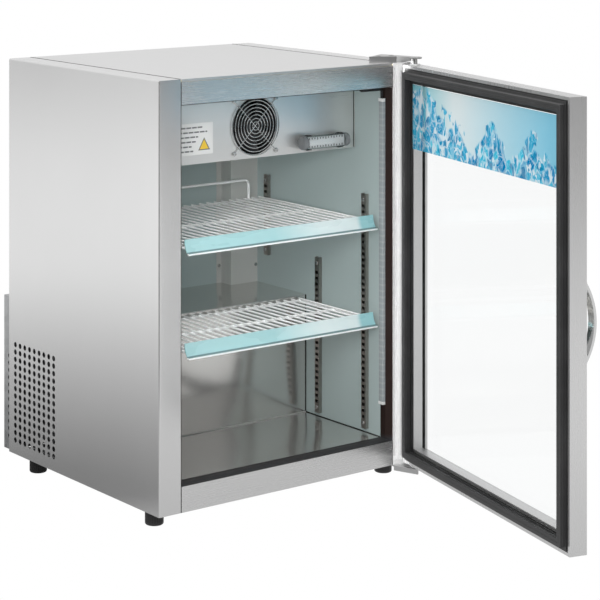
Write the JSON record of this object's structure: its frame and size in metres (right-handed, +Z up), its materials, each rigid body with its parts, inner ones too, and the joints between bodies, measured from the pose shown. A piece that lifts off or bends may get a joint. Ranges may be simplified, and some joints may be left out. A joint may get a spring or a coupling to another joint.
{
  "type": "undercounter refrigerator",
  "caption": "Stainless undercounter refrigerator with a hinged glass door, wire shelves, ducted fan cooling and a machine bay under a stepped floor.",
  "frame": {"origin": "centre of the cabinet's flat underside, midway between its sides and between its front face and back panel; the feet reach 30 mm below it", "axes": "+Z up, -Y towards the front where the door is, +X to the right seen from the front, which is the side with the hinges"},
  "size_m": [0.6343, 1.231, 0.861],
  "materials": {
    "skin_steel": "satin",
    "liner_metal": "satin",
    "bright_steel": "gloss",
    "galvanised": "satin",
    "foam": "matte",
    "frame_plastic": "satin",
    "seal_rubber": "matte",
    "glass": "gloss",
    "spacer": "satin",
    "film": "gloss",
    "wire_coating": "gloss",
    "strip_plastic": "gloss",
    "dark_steel": "satin",
    "zinc": "gloss",
    "black_plastic": "satin",
    "white_plastic": "gloss",
    "black_paint": "gloss",
    "copper": "gloss",
    "fin_metal": "satin",
    "foot_plastic": "satin"
  },
  "bodies": {
    "cabinet": {"back_panel": "galvanised", "base_pan": "galvanised", "bay_liner": "galvanised", "bottom_hinge_bracket": "bright_steel", "bottom_rail": "skin_steel", "breaker_frame": "frame_plastic", "compressor": "black_paint", "compressor_grommets": "seal_rubber", "condenser_coil": "fin_metal", "condenser_fan_frame": "black_plastic", "discharge_tube": "copper", "drip_pan": "galvanised", "electrical_box": "black_plastic", "evaporator_coil": "fin_metal", "evaporator_cover": "liner_metal", "evaporator_fan_frame": "black_plastic", "fan_guard": "zinc", "filter_drier": "copper", "foam_insulation": "foam", "front_header": "skin_steel", "hinge_pins": "zinc", "hump_cover": "bright_steel", "info_label": "white_plastic", "led_cable": "black_plastic", "led_strip": "white_plastic", "liner_floor": "bright_steel", "liner_shell": "liner_metal", "panel_screws": "zinc", "power_cord": "black_plastic", "rear_duct_cover": "bright_steel", "rear_housing": "galvanised", "shelf_clips": "zinc", "shelf_pilasters": "dark_steel", "side_panel_left": "skin_steel", "side_panel_right": "skin_steel", "suction_tube": "copper", "thermometer": "white_plastic", "top_hinge_bracket": "bright_steel", "top_panel": "skin_steel"},
    "door": {"door_frame": "skin_steel", "door_inner_frame": "frame_plastic", "outer_glass": "glass", "glass_spacer": "spacer", "inner_glass": "glass", "door_gasket": "seal_rubber", "door_graphic": "film", "hinge_bushes": "white_plastic", "door_handle": "bright_steel", "handle_screws": "zinc"},
    "upper_shelf": {"upper_shelf": "wire_coating", "upper_label_strip": "strip_plastic"},
    "lower_shelf": {"lower_shelf": "wire_coating", "lower_label_strip": "strip_plastic"},
    "evaporator_fan": {"evaporator_fan_blade": "black_plastic"},
    "condenser_fan": {"condenser_fan_blade": "black_plastic"},
    "thermostat": {"thermostat_knob": "black_plastic"},
    "foot_left_front": {"foot_left_front": "foot_plastic"},
    "foot_left_rear": {"foot_left_rear": "foot_plastic"},
    "foot_right_front": {"foot_right_front": "foot_plastic"},
    "foot_right_rear": {"foot_right_rear": "foot_plastic"}
  },
  "joints": [
    {"name": "door_swing", "type": "hinge", "parent": "cabinet", "child": "door", "pos_m": [0.298, -0.303, 0], "axis": [0, 0, 1], "range_deg": [-76, 29]},
    {"name": "evaporator_fan_spin", "type": "hinge", "parent": "cabinet", "child": "evaporator_fan", "pos_m": [-0.008, -0.147, 0.7], "axis": [0, 1, 0], "continuous": true},
    {"name": "condenser_fan_spin", "type": "hinge", "parent": "cabinet", "child": "condenser_fan", "pos_m": [-0.224, 0.164, 0.14], "axis": [1, 0, 0], "continuous": true},
    {"name": "thermostat_turn", "type": "hinge", "parent": "cabinet", "child": "thermostat", "pos_m": [-0.228, -0.168, 0.69], "axis": [0, -1, 0], "range_deg": [-150, 150]},
    {"name": "upper_shelf_lift", "type": "slide", "parent": "cabinet", "child": "upper_shelf", "axis": [0, 0, 1], "range_m": [0, 0.01]},
    {"name": "lower_shelf_lift", "type": "slide", "parent": "cabinet", "child": "lower_shelf", "axis": [0, 0, 1], "range_m": [0, 0.01]},
    {"name": "foot_left_front_level", "type": "slide", "parent": "cabinet", "child": "foot_left_front", "axis": [0, 0, -1], "range_m": [0, 0.012]},
    {"name": "foot_left_rear_level", "type": "slide", "parent": "cabinet", "child": "foot_left_rear", "axis": [0, 0, -1], "range_m": [0, 0.012]},
    {"name": "foot_right_front_level", "type": "slide", "parent": "cabinet", "child": "foot_right_front", "axis": [0, 0, -1], "range_m": [0, 0.012]},
    {"name": "foot_right_rear_level", "type": "slide", "parent": "cabinet", "child": "foot_right_rear", "axis": [0, 0, -1], "range_m": [0, 0.012]}
  ]
}
